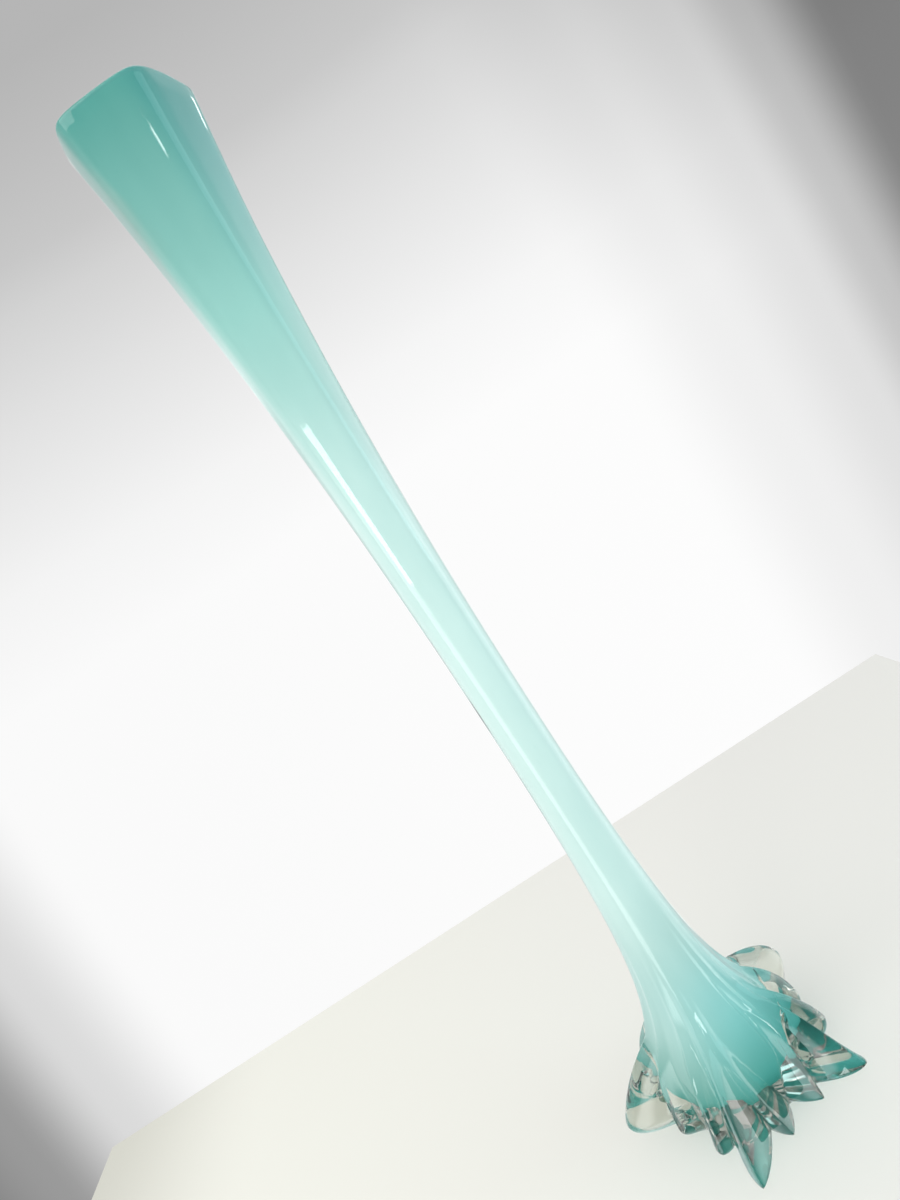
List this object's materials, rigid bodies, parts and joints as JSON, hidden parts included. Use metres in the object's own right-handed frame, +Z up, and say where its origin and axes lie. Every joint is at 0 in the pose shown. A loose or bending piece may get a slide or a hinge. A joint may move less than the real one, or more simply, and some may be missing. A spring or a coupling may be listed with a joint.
{
  "type": "stem vase",
  "caption": "Tall trumpet-shaped stem vase of turquoise opal glass cased in clear glass, with a twisted faceted body and a spread foot of pointed petals.",
  "frame": {"origin": "on the vase's axis, at the middle of the flat ground underside that it stands on", "axes": "+Z up the axis towards the mouth, -X towards the first long petal, -Y towards the front of the picture"},
  "size_m": [0.0981, 0.1045, 0.453],
  "materials": {
    "clear_glass": "fire-polished gloss",
    "opal_glass": "translucent opal gloss"
  },
  "bodies": {
    "root": {"clear_casing": "clear_glass", "opaline_liner": "opal_glass"}
  },
  "joints": []
}
